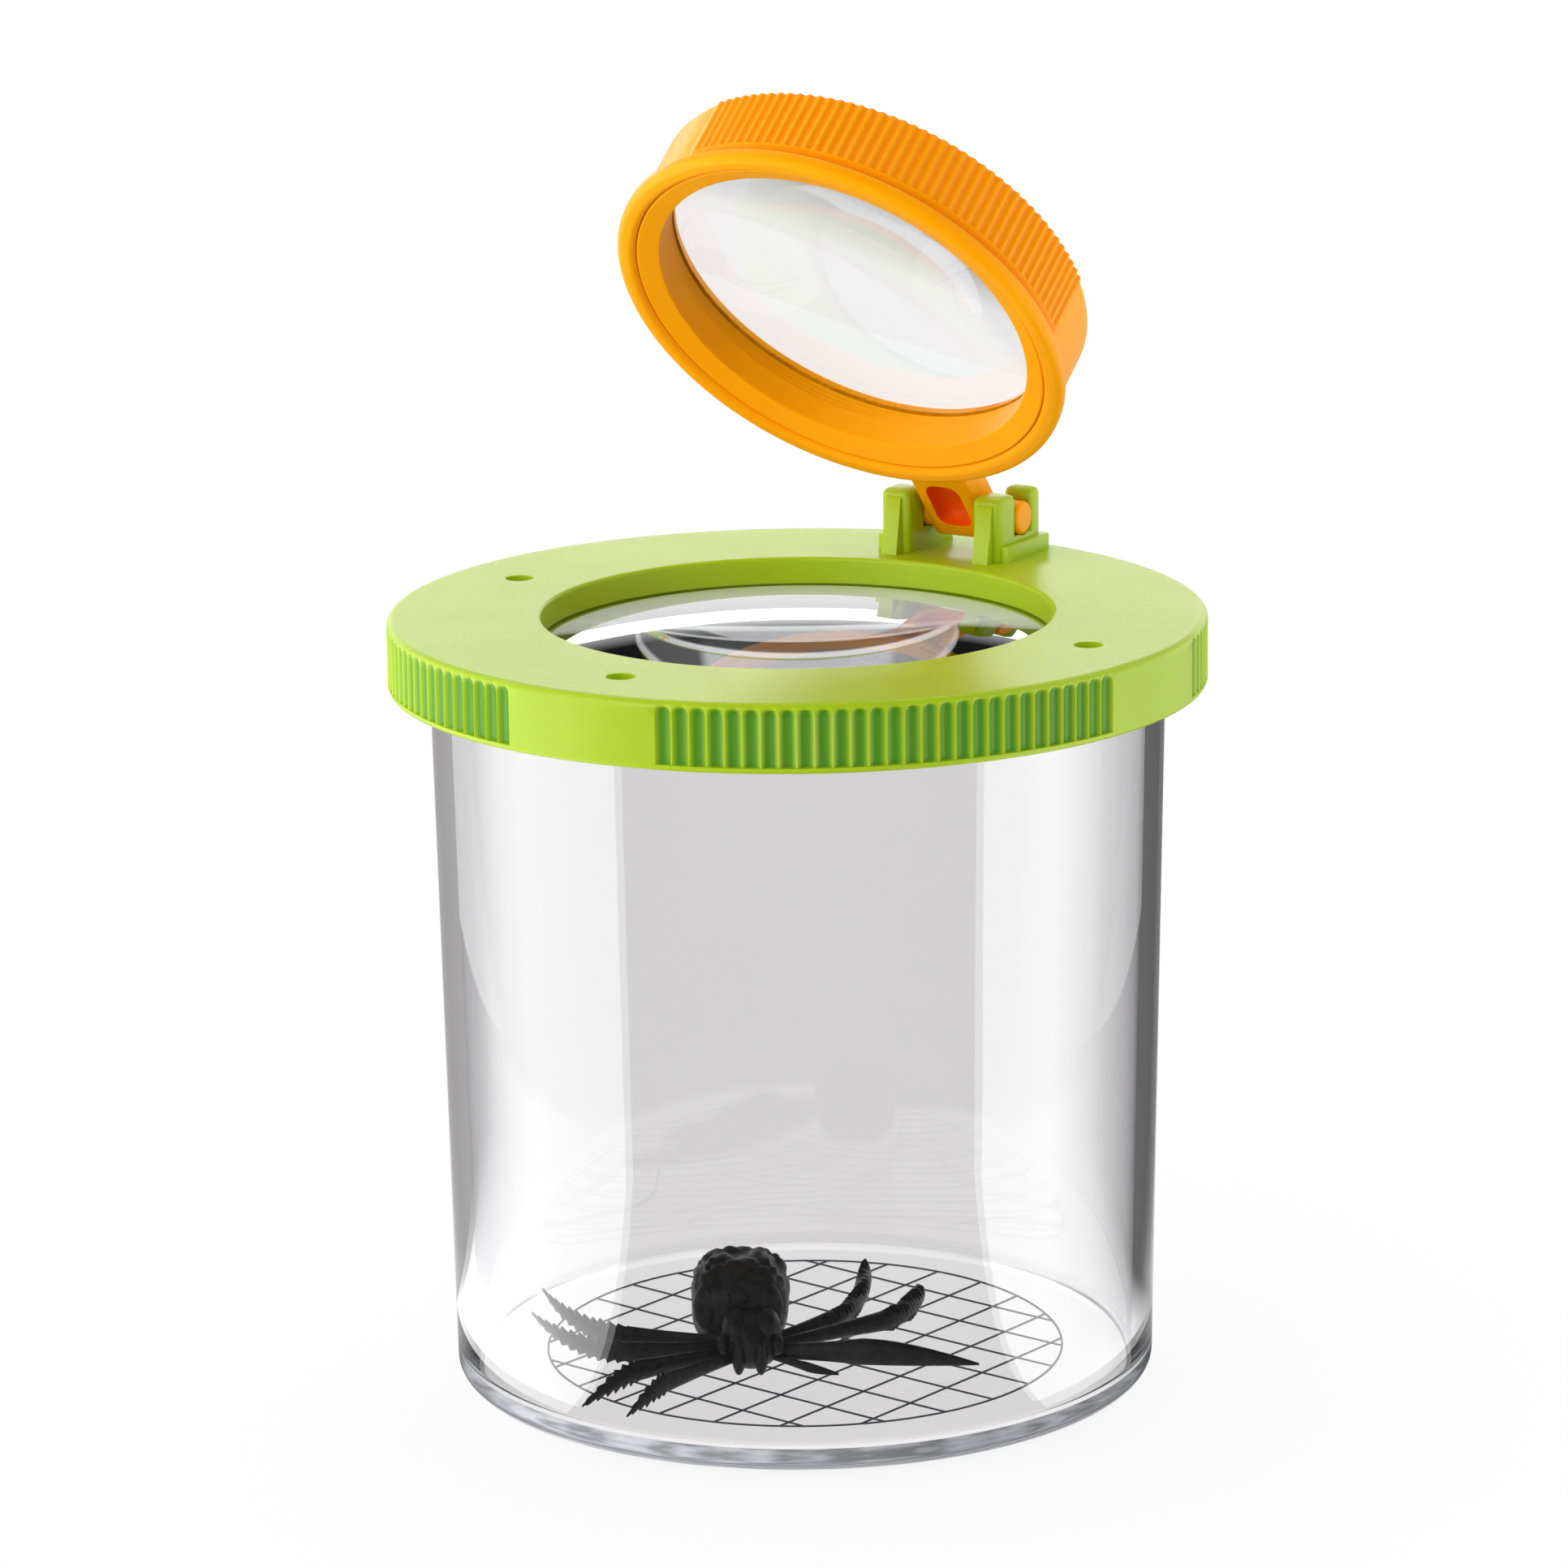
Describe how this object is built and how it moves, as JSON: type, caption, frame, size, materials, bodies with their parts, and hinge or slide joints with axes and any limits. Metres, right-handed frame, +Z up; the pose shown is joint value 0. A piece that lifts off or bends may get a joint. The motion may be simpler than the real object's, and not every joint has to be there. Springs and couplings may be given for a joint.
{
  "type": "bug catcher jar",
  "caption": "Clear beaker with a printed measuring grid, a push-on green lid with a lens and air holes, a flip-up orange magnifier and a toy spider inside.",
  "frame": {"origin": "on the jar's axis, in the flat underside of its foot", "axes": "+Z up along the jar's axis, +Y towards the magnifier's hinge, so that the hinge axis runs along X"},
  "size_m": [0.07, 0.07, 0.1112],
  "materials": {
    "clear_jar": "clear polished",
    "clear_lens": "clear polished",
    "green_plastic": "satin moulded",
    "orange_plastic": "satin moulded",
    "grid_ink": "printed ink",
    "black_plastic": "moulded gloss"
  },
  "bodies": {
    "jar": {"jar": "clear_jar", "measuring_grid": "grid_ink"},
    "lid": {"lid": "green_plastic", "lid_lens": "clear_lens", "lid_lens_retainer": "green_plastic"},
    "magnifier": {"magnifier_frame": "orange_plastic", "magnifier_lens": "clear_lens", "magnifier_bezel": "orange_plastic"},
    "spider": {"toy_spider": "black_plastic"}
  },
  "joints": [
    {"name": "lid_lift", "type": "slide", "parent": "jar", "child": "lid", "axis": [0, 0, 1], "range_m": [0, 0.06]},
    {"name": "magnifier_fold", "type": "hinge", "parent": "lid", "child": "magnifier", "pos_m": [0, 0.02919, 0.0703], "axis": [-1, 0, 0], "range_deg": [-51, 129]},
    {"name": "spider_lift", "type": "slide", "parent": "jar", "child": "spider", "axis": [0, 0, 1], "range_m": [0, 0.045]}
  ]
}
